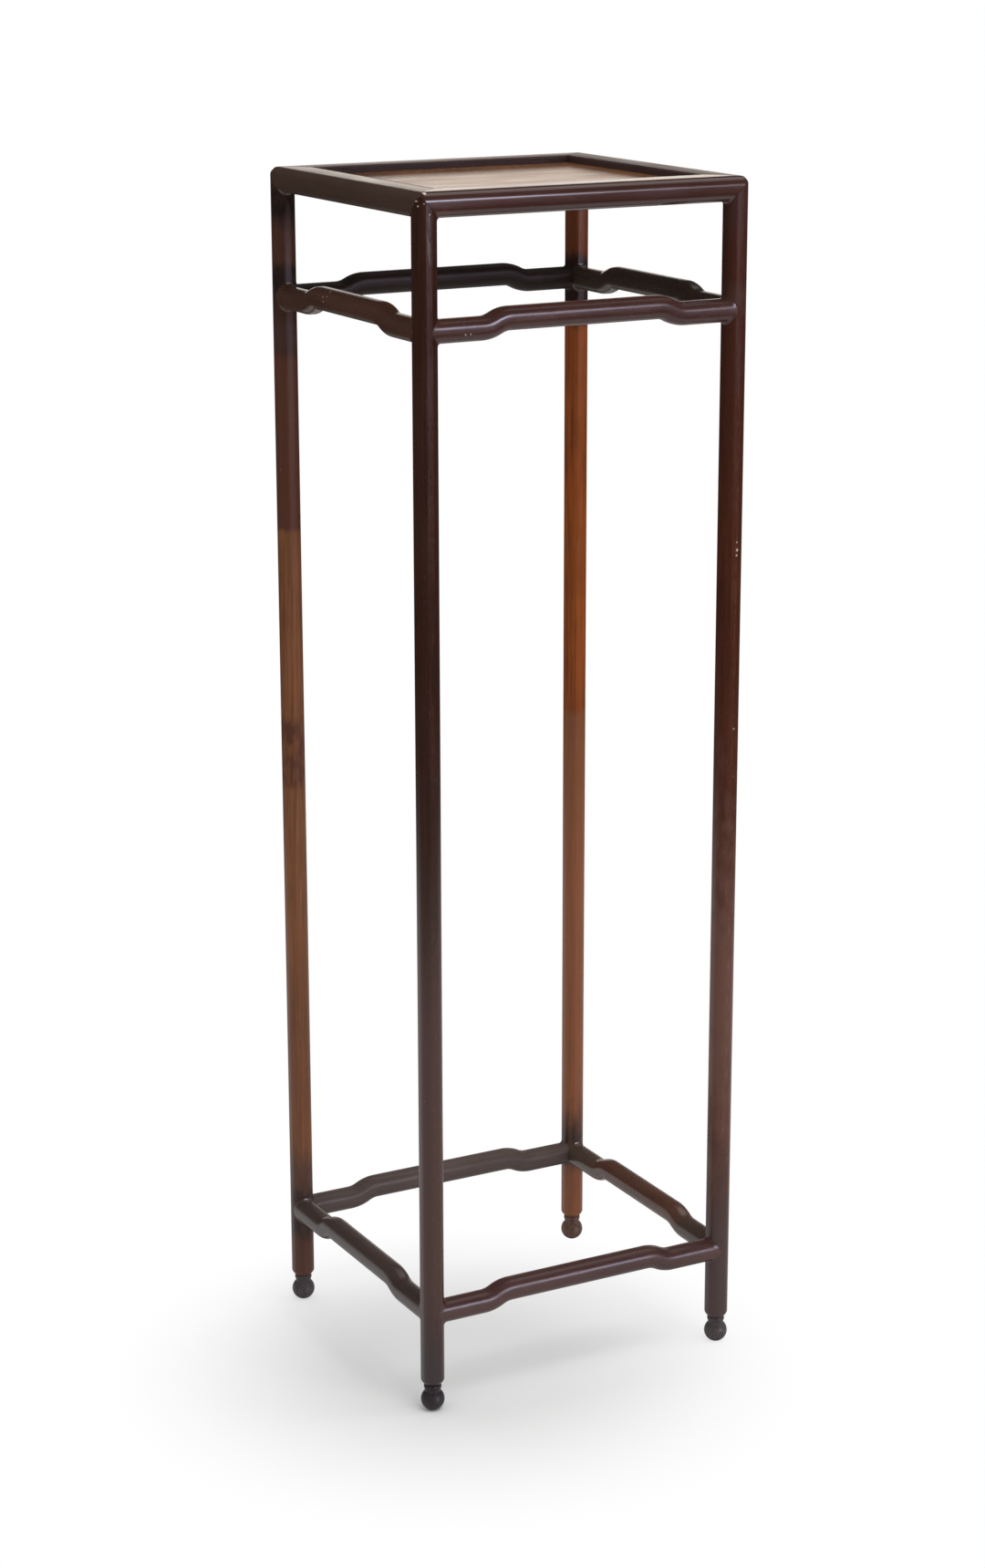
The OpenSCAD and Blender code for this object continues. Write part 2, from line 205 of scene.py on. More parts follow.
class StandStudio(bpy.types.PropertyGroup):
    """The camera and the light."""

    azimuth: angle("Azimuth", "Where the camera stands, round the stand from its front", -28.405)
    elevation: angle("Elevation", "How high the camera stands above its aim", 15.595)
    roll: angle("Roll", "Turn of the camera about its view", -0.12)
    distance: length("Distance", "From the camera to its aim", 3.0167)
    aim_x: bpy.props.FloatProperty(
        name="Aim X", description="Where the camera aims, along X", default=-0.0141
    )
    aim_z: length("Aim height", "Where the camera aims, above the floor", 0.5406)
    lens: bpy.props.FloatProperty(
        name="Lens", description="Focal length", default=74.81, min=1.0, unit="CAMERA"
    )
    sky: level("Sky", "Level of the light from all round", 0.95)
    backdrop: level("Backdrop", "Level of the lit backdrop in reflections", 2.0)
    window: level("Window", "Level of the window in reflections", 32.0)
    ceiling: level("Ceiling", "Level of the soft light overhead in reflections", 1.4)
    room: level("Room", "Level of the dark room in reflections", 0.04)
    paper: level("Paper", "Share of the light that the floor gives back", 0.67)
    window_azimuth: angle("Window azimuth", "Where the window is, round the stand from its front", 20.5)
    window_elevation: angle("Window elevation", "How high the window is", 9)


# Names under which a scene holds the settings
SETTINGS = {"stand_sizes": StandSizes, "stand_colours": StandColours, "stand_studio": StandStudio}


def sizes():
    return bpy.context.scene.stand_sizes


def colours():
    return bpy.context.scene.stand_colours


def studio():
    return bpy.context.scene.stand_studio


class Value:
    """A number in a node tree. Arithmetic on it adds Math nodes."""

    def __init__(self, tree, socket):
        self.tree = tree
        self.socket = socket

    def math(self, operation, *others):
        node = self.tree.nodes.new("ShaderNodeMath")
        node.operation = operation
        for given, socket in zip((self, *others), node.inputs):
            feed(self.tree, given, socket)
        return Value(self.tree, node.outputs[0])

    __add__ = partialmethod(math, "ADD")
    __sub__ = partialmethod(math, "SUBTRACT")
    __mul__ = partialmethod(math, "MULTIPLY")
    __truediv__ = partialmethod(math, "DIVIDE")
    __abs__ = partialmethod(math, "ABSOLUTE")
    __neg__ = partialmethod(math, "MULTIPLY", -1.0)
    sign = partialmethod(math, "SIGN")
    sqrt = partialmethod(math, "SQRT")
    power = partialmethod(math, "POWER")
    lowest = partialmethod(math, "MINIMUM")
    highest = partialmethod(math, "MAXIMUM")
    below = partialmethod(math, "LESS_THAN")

    def __rsub__(self, other):
        return -self + other

    def clamped(self):
        """Kept between 0 and 1"""
        return self.highest(0.0).lowest(1.0)

    def climb(self, low, high):
        """0 at low, 1 at high, and smooth between them"""
        smooth = {"interpolation_type": "SMOOTHSTEP"}
        node = add(self.tree, "ShaderNodeMapRange", smooth, Value=self, From_Min=low, From_Max=high)
        return Value(self.tree, node.outputs[0])


def feed(tree, given, socket):
    """Links a node's first output, a Value or a socket to a socket, or sets it to a plain value."""
    if isinstance(given, bpy.types.Node):
        given = given.outputs[0]
    if isinstance(given, Value):
        given = given.socket
    if isinstance(given, bpy.types.NodeSocket):
        tree.links.new(given, socket)
    else:
        socket.default_value = given


def add(tree, kind, fields=None, **given):
    """Adds a node. Fields are its own settings, and the rest feed its inputs by name."""
    node = tree.nodes.new(kind)
    for field, value in (fields or {}).items():
        setattr(node, field, value)
    for name, value in given.items():
        feed(tree, value, node.inputs[name.replace("_", " ")])
    return node


def split(tree, vector):
    """The three numbers of a vector"""
    node = add(tree, "ShaderNodeSeparateXYZ", Vector=vector)
    return [Value(tree, socket) for socket in node.outputs]


def join(tree, x, y, z):
    """A node that makes a vector from three numbers"""
    return add(tree, "ShaderNodeCombineXYZ", X=x, Y=y, Z=z)


def blend(tree, share, first, second):
    """Mixes two colours: the first where the share is 0, the second where it is 1"""
    node = tree.nodes.new("ShaderNodeMix")
    node.data_type = "RGBA"
    feed(tree, share, node.inputs[0])
    feed(tree, first, node.inputs[6])
    feed(tree, second, node.inputs[7])
    return node.outputs[2]


def scaled(rgb, factor):
    """A colour made darker or lighter, with its alpha"""
    return (*(channel * factor for channel in rgb), 1.0)


def grey(light):
    return (light, light, light, 1.0)


def link(name, data):
    """Puts a new object with that data in the scene."""
    made = bpy.data.objects.new(name, data)
    bpy.context.scene.collection.objects.link(made)
    return made


# The wood

class Plank:
    """The wood of one piece: its own place in the log, with the grain along the piece. The methods
    take their sizes and places in millimetres."""

    def __init__(self, name, rgb, axis, seed):
        self.material = bpy.data.materials.new(name)
        self.material.use_nodes = True
        self.tree = self.material.node_tree
        self.shader = self.tree.nodes["Principled BSDF"]
        self.place = split(self.tree, add(self.tree, "ShaderNodeTexCoord").outputs["Object"])
        x, y, z = self.place
        turned = {"X": (y, z, x), "Y": (z, x, y), "Z": (x, y, z)}[axis]
        luck = Random(seed)
        self.grain = [way + luck.uniform(-2, 2) for way in turned]
        self.slant = luck.uniform(0, pi)
        self.rgb = rgb
        self.colour = None
        self.gloss_loss = None
        self.relief = None

    def noise(self, across, along, detail=3.0, rough=0.55):
        """Noise of 0 to 1, in marks that wide across the grain and that long along it"""
        a, b, c = self.grain
        across, along = across * MM, along * MM
        at = join(self.tree, a / across, b / across, c / along)
        node = add(self.tree, "ShaderNodeTexNoise", Vector=at, Scale=1.0, Detail=detail, Roughness=rough)
        return Value(self.tree, node.outputs[0])

    def lay_grain(self, contrast, patch, ring=3.4):
        """Growth rings that far apart, streaks, pores and cloudy patches"""
        a, b, c = self.grain
        sway = self.noise(18, 160, 2.0) * (9 * MM)
        depth = a * cos(self.slant) + b * sin(self.slant) + sway
        rings = (depth / (ring * MM)).math("FRACT").power(2.5)
        streak = self.noise(1.8, 90, 3.0, 0.55)
        fibre = self.noise(0.8, 26, 2.0, 0.5)
        cloud = self.noise(26, 90, 3.0, 0.6)
        pores = self.noise(0.8, 9, 1.0).climb(0.64, 0.74)
        tone = (streak - 0.5) * (1.3 * contrast) + (fibre - 0.5) * (0.45 * contrast)
        tone = tone + (cloud - 0.5) * (2.2 * patch) - rings * (0.25 * contrast) + 0.6
        tone = (tone - pores * (0.2 * contrast)).clamped()
        ends = scaled(self.rgb, GRAIN_DARK), scaled(self.rgb, GRAIN_LIGHT)
        self.colour = blend(self.tree, tone, *ends)
        self.gloss_loss = pores * (0.1 * contrast) + (cloud - 0.5) * 0.16
        self.relief = fibre * 0.25 - pores * 0.5 + streak * 0.3
        return self

    def tint(self, share, rgb):
        """Lays another colour over the wood, by a share of 0 to 1"""
        self.colour = blend(self.tree, share, self.colour, (*rgb, 1.0))

    def dull(self, share, amount):
        """Takes gloss away, by a share of 0 to 1"""
        self.gloss_loss = self.gloss_loss + share * amount

    def stain(self, low, high, soft, strength, rgb, blotch=0.0):
        """A stain between two heights, with soft edges that waver"""
        low, high, soft = low * MM, high * MM, soft * MM
        z = self.place[2] + (self.noise(9, 22, 3.0) - 0.5) * (1.2 * soft)
        share = z.climb(low - soft / 2, low + soft / 2) * (-z).climb(-high - soft / 2, -high + soft / 2)
        if blotch:
            share = share * (1.0 - self.noise(7, 18, 3.0).climb(0.44, 0.6) * blotch)
        self.tint(share * strength, rgb)

    def spot(self, place, size, strength, rgb=None):
        """A spot round a place, such as a chip that shows the wood under the wax, or a painted highlight.
        A None in the place means all along that axis."""
        far = None
        for way, at in zip(self.place, place):
            if at is not None:
                part = (way - at * MM).power(2.0)
                far = far + part if far else part
        far = far.sqrt() + (self.noise(1.2, 1.2, 2.0) - 0.5) * (1.4 * MM * size)
        share = (-far).climb(-size * MM, -size * MM * 0.4)
        self.tint(share * strength, rgb or colours().bare_wood_and_glint)

    def specks(self, amount):
        """Sparse small nicks all over"""
        a, b, c = self.grain
        at = join(self.tree, a / (9 * MM), b / (9 * MM), c / (26 * MM))
        cells = add(self.tree, "ShaderNodeTexVoronoi", Vector=at, Scale=1.0)
        near = (-Value(self.tree, cells.outputs["Distance"])).climb(-0.055, -0.03)
        pick = split(self.tree, cells.outputs["Color"])[0].climb(0.86, 0.9)
        self.tint(near * pick * (0.35 * amount), colours().bare_wood_and_glint)
        return self

    def chips_and_glint_line(self, inset, low, high, amount):
        """Tiny chips along the front of a leg, that far to the right of its middle. On the front left leg
        the line is also a painted highlight streak.
        """
        inset, low, high = inset * MM, low * MM, high * MM
        x, y, z = self.place
        across = ((abs(x) - (sizes().width - sizes().leg_t) / 2) * x.sign() - inset).power(2.0).sqrt()
        line = (-across).climb(-1.6 * MM, -0.4 * MM) * (-y).climb(0.0, 1 * MM)
        reach = z.climb(low - 20 * MM, low + 20 * MM) * (-z).climb(-high - 20 * MM, -high + 20 * MM)
        chips = self.noise(1.3, 12.0, 2.0, 0.6).climb(0.45, 0.7)
        self.tint(line * reach * chips * amount, colours().bare_wood_and_glint)

    def finish(self, rough, specular=0.5, bump=0.04):
        """Wires the shader, and returns the material"""
        rough_value = (self.gloss_loss + rough).highest(SMOOTHEST).lowest(ROUGHEST)
        relief = add(self.tree, "ShaderNodeBump", Height=self.relief, Strength=0.5, Distance=bump * MM)
        for name, given in (
            ("Base Color", self.colour), ("Roughness", rough_value), ("Specular IOR Level", specular),
            ("Normal", relief),
        ):
            feed(self.tree, given, self.shader.inputs[name])
        return self.material


# Stains: soot by the joints, old red lacquer, and wood that has faded. The soot's colour is also
# # laid on two rails as painted shade.
SOOT_AND_SHADE = (0.0065, 0.0048, 0.005)
OLD_RED = (0.07, 0.023, 0.013)
FADED = (0.06, 0.033, 0.027)


def front_left_leg_wood():
    """Dark red, redder low down, with chips by the frame and a painted highlight streak down its front"""
    plank = Plank("leg_wood_front_left", colours().front_leg, "Z", seed=11).lay_grain(0.7, patch=0.3)
    plank.stain(90, 430, 120, 0.7, (0.048, 0.015, 0.01))
    plank.stain(-50, 70, 50, 0.7, (0.02, 0.011, 0.013))
    # Chips, and a painted highlight: the streak of light that runs down the leg's front from the corner
    plank.chips_and_glint_line(-0.5, 1040, 1090, 0.2)
    for x, z, size in ((-162, 1093, 1.0), (-161, 1089, 0.8), (-157, 1091, 0.8), (-152, 1082, 0.9)):
        plank.spot((x, None, z), size, 0.5)
    return plank.specks(0.4).finish(0.22, bump=0.015)


def front_right_leg_wood():
    """Dark red above, paler and greyer below, partly as a painted reflection of the floor, with chips down
    its front
    """
    plank = Plank("leg_wood_front_right", colours().right_leg, "Z", seed=23).lay_grain(0.8, patch=0.35)
    plank.stain(850, 1140, 160, 0.8, (0.043, 0.012, 0.0065))
    plank.stain(1050, 1140, 30, 0.8, colours().rail)
    plank.stain(985, 1004, 18, 0.5, FADED)
    # Paler wood below and greyer near the floor: partly the wood's own tone, partly a painted reflection
    # of the pale floor, as this leg has little gloss
    plank.stain(200, 480, 260, 0.75, (0.12, 0.056, 0.04))
    plank.stain(-90, 150, 160, 0.85, (0.056, 0.038, 0.037))
    plank.chips_and_glint_line(0.5, 250, 960, 0.05)
    for x, z, size in ((153.5, 778, 1.0), (154, 771, 1.5), (153.5, 766, 1.1), (154, 606, 1.0)):
        plank.spot((x, None, z), size, 0.9)
    return plank.specks(0.5).finish(0.26, specular=0.25, bump=0.015)


def back_left_leg_wood():
    """Worn to a pale brown, red at its middle, with red and sooty bands at both ends"""
    plank = Plank("leg_wood_back_left", colours().left_leg, "Z", seed=37).lay_grain(1.1, patch=0.4)
    plank.tint(plank.noise(2.4, 70).climb(0.54, 0.72) * 0.45, (0.22, 0.105, 0.05))
    plank.stain(100, 360, 200, 0.4, (0.115, 0.042, 0.02))
    plank.stain(770, 1160, 7, 0.92, OLD_RED)
    plank.stain(526, 590, 14, 0.9, OLD_RED, blotch=0.7)
    plank.stain(930, 1160, 16, 0.75, (0.03, 0.014, 0.011))
    plank.stain(978, 1012, 10, 0.75, SOOT_AND_SHADE, blotch=0.5)
    plank.stain(1014, 1046, 9, 0.8, OLD_RED, blotch=0.35)
    plank.stain(1056, 1082, 9, 0.75, SOOT_AND_SHADE, blotch=0.6)
    plank.stain(935, 962, 14, 0.4, FADED)
    plank.stain(20, 150, 34, 0.7, (0.048, 0.026, 0.021))
    plank.stain(64, 118, 24, 0.7, SOOT_AND_SHADE, blotch=0.4)
    plank.stain(20, 66, 14, 0.6, OLD_RED)
    return plank.specks(0.4).finish(0.34, specular=0.25, bump=0.02)


def back_right_leg_wood():
    """Faded to orange, paler below, with soot by the stretchers"""
    plank = Plank("leg_wood_back_right", colours().back_leg, "Z", seed=41).lay_grain(1.1, patch=0.4)
    plank.stain(960, 1160, 60, 0.7, (0.078, 0.019, 0.0055))
    plank.stain(940, 1006, 16, 0.88, SOOT_AND_SHADE)
    plank.stain(-50, 560, 8, 0.5, (0.17, 0.072, 0.036))
    plank.stain(92, 136, 46, 0.85, SOOT_AND_SHADE)
    return plank.specks(0.3).finish(0.3, specular=0.35, bump=0.02)


LEG_WOODS = {
    "front_left": front_left_leg_wood,
    "front_right": front_right_leg_wood,
    "back_left": back_left_leg_wood,
    "back_right": back_right_leg_wood,
}


# Shapes

def shares(count, crowd=1.0):
    """Numbers from 0 to 1. Crowd over 1 draws them towards 0."""
    return [(step / (count - 1)) ** crowd for step in range(count)]


def sweep(first, last, steps):
    """Even turns from one angle in degrees to another, as radians"""
    return [radians(first + (last - first) * share) for share in shares(steps + 1)]


def bar_section(half, radius, steps):
    """A rounded square, from the middle of one corner round: (point, outward) pairs"""
    ring = []
    for across, up, start in ((-1, -1, 180), (1, -1, 270), (1, 1, 0), (-1, 1, 90)):
        middle = Vector((across, up)) * (half - radius)
        for turn in sweep(start, start + 90, steps):
            outward = Vector((cos(turn), sin(turn)))
            ring.append((middle + outward * radius, outward))
    first = steps // 2
    return ring[first:] + ring[:first]


def skin(bm, rows):
    """Joins closed rows of points into a tube, and returns the rows of vertices."""
    made = [[bm.verts.new(point) for point in row] for row in rows]
    for low, high in zip(made, made[1:]):
        for i in range(len(low)):
            j = (i + 1) % len(low)
            bm.faces.new((low[i], low[j], high[j], high[i]))
    return made


def cap(bm, corners):
    """One face on vertices given in order, without repeats"""
    once = [corner for n, corner in enumerate(corners) if corner not in corners[:n]]
    if len(once) > 2:
        bm.faces.new(once)


def finish_piece(bm, look, node, material, sharp=38.0):
    """Turns a bmesh into a smooth closed piece that stands for a CAD node."""
    name = look + "_" + node
    bmesh.ops.remove_doubles(bm, verts=bm.verts, dist=0.001 * MM)
    bmesh.ops.recalc_face_normals(bm, faces=bm.faces)
    mesh = bpy.data.meshes.new(name)
    bm.to_mesh(mesh)
    bm.free()
    mesh.materials.append(material)
    mesh.shade_smooth()
    mesh.set_sharp_from_angle(angle=radians(sharp))
    piece = link(name, mesh)
    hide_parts(node)
    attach(piece, "root")


def eased_corner(u, v, w, drawn=0.0):
    """Draws a point by a three-way corner back onto the ball that eases it."""
    s = sizes()
    if max(u, v, w) <= s.edge_r:
        middle = Vector((s.ease_in,) * 3)
        arm = Vector((u, v, w)) - middle
        if arm.length > s.ease_r - drawn:
            u, v, w = middle + arm * ((s.ease_r - drawn) / arm.length)
    return u, v, w


def at_corner(side, face, u, v, w):
    """A place from its distances in from a corner's two outer faces and down from the top."""
    s = sizes()
    return Vector((side * (s.width / 2 - u), face * (s.depth / 2 - v), s.height - w))


class STAND_OT_legs(bpy.types.Operator):
    """Legs, mitred under the frame's corners and rounded at the lower end"""

    bl_idname = "stand.legs"
    bl_label = "Legs"

    def execute(self, context):
        for corner, (side, face) in CORNERS.items():
            build_leg(corner, side, face)
        return {"FINISHED"}


def shoulder_rows(section, half):
    """The leg's lower end, from its foot up: an arc turned about the leg's middle"""
    s = sizes()
    spare = 0.3 * MM
    reach = (half - s.edge_r) * sqrt(2) + s.edge_r + spare
    middle = reach - s.nose_r
    first = asin((s.leg_end_d / 2 - middle) / s.nose_r)
    top = s.foot_h + s.nose_r * cos(first)
    rows = []
    for share in shares(NOSE_ROWS):
        turn = first + (pi / 2 - first) * share
        limit = middle + s.nose_r * sin(turn)
        rows.append([
            (*(Vector((half, half)) + point * min(1.0, limit / point.length)),
             s.height - top + s.nose_r * cos(turn))
            for point, _ in section
        ])
    return rows


def build_leg(corner, side, face):
    """A leg, in rows of points from its lower end up to the mitre, then the mitre's two faces"""
    s = sizes()
    half = s.leg_t / 2
    slope = s.rail_h / s.leg_t
    section = bar_section(half, s.edge_r, LEG_CORNER_STEPS)
    inner = [(Vector((half, half)) + point, outward) for point, outward in section]

    def top_of(u, v):
        return slope * max(u, v) + s.seam

    rows = shoulder_rows(section, half)
    neck = s.rail_h + LEG_PLAIN
    foot_top = rows[-1][0][2]
    for share in shares(LEG_ROWS)[1:-1]:
        rows.append([(*point, foot_top + (neck - foot_top) * share) for point, _ in inner])
    for share in reversed(shares(MITRE_ROWS, MITRE_CROWD)):
        row = []
        for (u, v), _ in inner:
            top = top_of(u, v) + s.arris
            row.append(eased_corner(u, v, top + (neck - top) * share))
        rows.append(row)
    seam_row = []
    for (u, v), outward in inner:
        drawn = Vector((u, v)) - outward * s.arris
        seam_row.append(eased_corner(*drawn, top_of(u, v), s.arris))
    rows.append(seam_row)

    bm = bmesh.new()
    made = skin(bm, [[at_corner(side, face, *point) for point in row] for row in rows])
    cap(bm, made[0])
    ring = made[-1]
    count = len(ring)
    ridge = []
    for i in range(count // 2 + 1):
        inset = sum(seam_row[i][:2]) / 2
        meeting = at_corner(side, face, inset, inset, top_of(inset, inset))
        ridge.append(ring[i] if i in (0, count // 2) else bm.verts.new(meeting))
    for i in range(count // 2):
        cap(bm, [ring[i], ring[i + 1], ridge[i + 1], ridge[i]])
        cap(bm, [ring[(count - i) % count], ring[count - i - 1], ridge[i + 1], ridge[i]])
    finish_piece(bm, "waxed", "leg_" + corner, LEG_WOODS[corner]())


class STAND_OT_feet(bpy.types.Operator):
    """Turned feet: a ball, a neck and a band under each leg"""

    bl_idname = "stand.feet"
    bl_label = "Feet"

    def execute(self, context):
        s = sizes()
        turns = [2 * pi * i / FOOT_SIDES for i in range(FOOT_SIDES)]
        for seed, (corner, (side, face)) in enumerate(CORNERS.items(), FOOT_SEED):
            bm = bmesh.new()
            middle = at_corner(side, face, s.leg_t / 2, s.leg_t / 2, s.height)
            made = skin(bm, [
                [middle + Vector((r * cos(turn), r * sin(turn), z)) for turn in turns]
                for r, z in foot_profile()
            ])
            cap(bm, made[0])
            cap(bm, made[-1])
            finish_piece(bm, "turned", "foot_" + corner, foot_wood(corner, seed))
        return {"FINISHED"}


def foot_wood(corner, seed):
    """A foot's wood, greyer than the legs'"""
    own = {"front_left": colours().near_foot, "back_right": colours().worn_foot}
    plank = Plank("foot_wood_" + corner, own.get(corner, colours().foot), "Z", seed)
    return plank.lay_grain(1.0, patch=0.4).finish(0.4, specular=0.2)


def arc(x, y, radius, *turns):
    """Points of an arc about a middle, with its turns given as for sweep"""
    return [(x + radius * cos(turn), y + radius * sin(turn)) for turn in sweep(*turns)]


def foot_profile():
    """Half of the foot's outline, as radius and height, from the floor up"""
    s = sizes()
    ball_r = s.ball_d / 2
    neck_r = s.neck_d / 2
    ball_z = sqrt(ball_r**2 - (s.ball_flat_d / 2) ** 2)
    low = -90 + degrees(asin(s.ball_flat_d / 2 / ball_r))
    high = 90 - degrees(asin(neck_r / ball_r))
    band_r = s.band_d / 2
    band_top = s.foot_h - s.band_drop
    band_low = band_top - s.band_h
    edge = s.band_edge_r
    bevel = 0.1 * MM
    gap = 0.01 * MM
    return [
        *arc(0.0, ball_z, ball_r, low, high, 36),
        (neck_r, band_low - bevel),
        (neck_r + bevel, band_low),
        *arc(band_r - edge, band_low + edge, edge, -90, 0, 6),
        *arc(band_r - edge, band_top - edge, edge, 0, 90, 6),
        (neck_r + bevel, band_top),
        (neck_r, band_top + bevel),
        (neck_r, s.foot_h - gap),
    ]


class STAND_OT_rails(bpy.types.Operator):
    """Frame rails, mitred with each other and over the legs"""

    bl_idname = "stand.rails"
    bl_label = "Rails"

    def execute(self, context):
        for side, turn in TURNS.items():
            build_rail(side, turn)
        return {"FINISHED"}


def rail_section(slope):
    """The rail's section as (v, w, outward v, outward w), and which point is the inner ridge.

    V runs in from the outer face and w down from the top. The first point is the ridge in the
    outer top edge where the two mitres of the rail's end meet."""
    s = sizes()
    r = s.edge_r
    lip = s.lip_r
    ridge = degrees(atan(slope) + asin((1 - slope) / sqrt(1 + slope**2)))
    groove_low = s.groove_drop + s.groove_h
    under_r = 0.8 * MM
    flat_rows = 9

    def rounded(v, w, radius, *turns):
        """An arc in the section, with its turns given as for sweep"""
        return [
            (v - radius * cos(turn), w - radius * sin(turn), -cos(turn), -sin(turn))
            for turn in sweep(*turns)
        ]

    ring = rounded(r, r, r, ridge, 90, 8)
    ring += rounded(s.rail_w - lip, lip, lip, 90, 180, 6)
    ring += [
        (s.rail_w, s.groove_drop, 1, 0),
        (s.rail_w - s.groove_l, s.groove_drop, 1, 0),
        (s.rail_w - s.groove_l, groove_low, 1, 0),
        (s.rail_w, groove_low, 1, 0),
    ]
    ring += rounded(s.rail_w - under_r, s.rail_h - under_r, under_r, 180, 270, 3)
    inner_ridge = len(ring)
    for share in shares(flat_rows)[:-1]:
        ring.append((s.leg_t + (r - s.leg_t) * share, s.rail_h, 0, 1))
    ring += rounded(r, s.rail_h - r, r, 270, 360, 14)
    ring += rounded(r, r, r, 0, ridge, 8)[:-1]
    return ring, inner_ridge


def cove(away, radius):
    """How far a cove stands out, that far from the face it runs into"""
    if away >= radius:
        return 0.0
    return radius - sqrt(radius**2 - (radius - away) ** 2)


def spans(turn):
    """How long a side is, how far it is from the side opposite, and the axis it runs along"""
    s = sizes()
    return (s.width, s.depth, "X") if turn % 180 == 0 else (s.depth, s.width, "Y")


def build_rail(side, turn):
    """A rail, in rows of points from end to end, then the two faces of each end's mitres"""
    s = sizes()
    slope = s.rail_h / s.leg_t
    span, across = spans(turn)[:2]
    ring, inner_ridge = rail_section(slope)

    def end_row(share, drawn=0.0):
        """A row at one end: (u, v, w) for each point, from the mitres (0) to the plain rail (1)"""
        row = []
        for v, w, out_v, out_w in ring:
            end = max(v, w / slope) + s.seam + (0.0 if drawn else s.arris)
            u = end + (RAIL_PLAIN - end) * share
            by_leg = max(0.0, min(1.0, (COVE_END - v) / COVE_FADE))
            swell = cove(u - end, s.rail_cove_r) * max(0.0, out_w) ** 2 * by_leg
            row.append(eased_corner(u, v - out_v * drawn, w + swell - out_w * drawn, drawn))
        return row

    ends = [end_row(0.0, s.arris)] + [end_row(share) for share in shares(MITRE_ROWS, MITRE_CROWD)]
    rows = [[(u - span / 2, v, w) for u, v, w in row] for row in ends]
    for share in shares(RAIL_ROWS)[1:-1]:
        x = (RAIL_PLAIN - span / 2) * (1 - 2 * share)
        rows.append([(x, v, w) for v, w, _, _ in ring])
    rows += [[(span / 2 - u, v, w) for u, v, w in row] for row in reversed(ends)]
    turned = Matrix.Rotation(radians(turn), 4, "Z")

    bm = bmesh.new()
    made = skin(bm, [
        [turned @ Vector((x, v - across / 2, s.height - w)) for x, v, w in row]
        for row in rows
    ])
    for end in (made[0], made[-1]):
        cap(bm, end[:inner_ridge + 1])
        cap(bm, end[inner_ridge:] + end[:1])
    finish_piece(bm, "waxed", "rail_" + side, rail_wood(side, turn), sharp=30.0)


# Roughness of the rails
RAIL_ROUGH = {"front": 0.19, "left": 0.25, "back": 0.28, "right": 0.33}


def rail_wood(side, turn):
    """A rail's wood, duller on its inner face, with painted shade along the left rail's inner top edge and
    on the back rail's inner face, and a painted highlight on the front left corner
    """
    s = sizes()
    own = {"front": colours().rail, "left": colours().left_rail}
    across, axis = spans(turn)[1:]
    plank = Plank("rail_wood_" + side, own.get(side, colours().far_rail), axis, RAIL_SEED + turn)
    plank.lay_grain(0.18, patch=0.35)
    inward = across / 2 - abs(plank.place[1] if axis == "X" else plank.place[0])
    plank.dull(inward.climb(s.rail_w - 1.8 * MM, s.rail_w - 0.9 * MM), 0.25)
    if side == "back":
        # Painted shade: the back rail's inner face, under its lip, is darkened with the soot colour and
        # dulled
        inner_face = inward.climb(s.rail_w - 0.9 * MM, s.rail_w - 0.3 * MM)
        plank.dull(inner_face, 0.3)
        plank.tint(inner_face * 0.5, SOOT_AND_SHADE)
    if side == "front":
        # Painted highlight: a light spot on the front left corner's ball, where it would catch the window
        plank.spot((-154.5, -143.5, 1098.5), 2.4, 1.0)
        plank.spot((72, None, 1079), 0.9, 0.7)
        plank.spot((-138, None, 1081), 7, 0.6, OLD_RED)
    if side == "right":
        plank.dull((-inward).climb(-5 * MM, -2 * MM), 0.3)
    if side == "left":
        # Painted shade: a dark line along the left rail's inner top edge, where it meets the sunken panel
        line = inward.climb(s.rail_w - 3.6 * MM, s.rail_w - 2.8 * MM)
        plank.tint(line * 0.8, SOOT_AND_SHADE)
        plank.dull(line, 0.7)
    return plank.specks(0.15).finish(RAIL_ROUGH[side], bump=0.006)


class STAND_OT_stretchers(bpy.types.Operator):
    """Humpback stretchers, whose ends are hollowed to wrap the legs"""

    bl_idname = "stand.stretchers"
    bl_label = "Stretchers"

    def execute(self, context):
        s = sizes()
        tree = stretcher_tree()
        for tier, height in (("upper", s.upper_z), ("lower", s.lower_z)):
            for side, turn in TURNS.items():
                build_stretcher(tree, tier, height, side, turn)
        return {"FINISHED"}


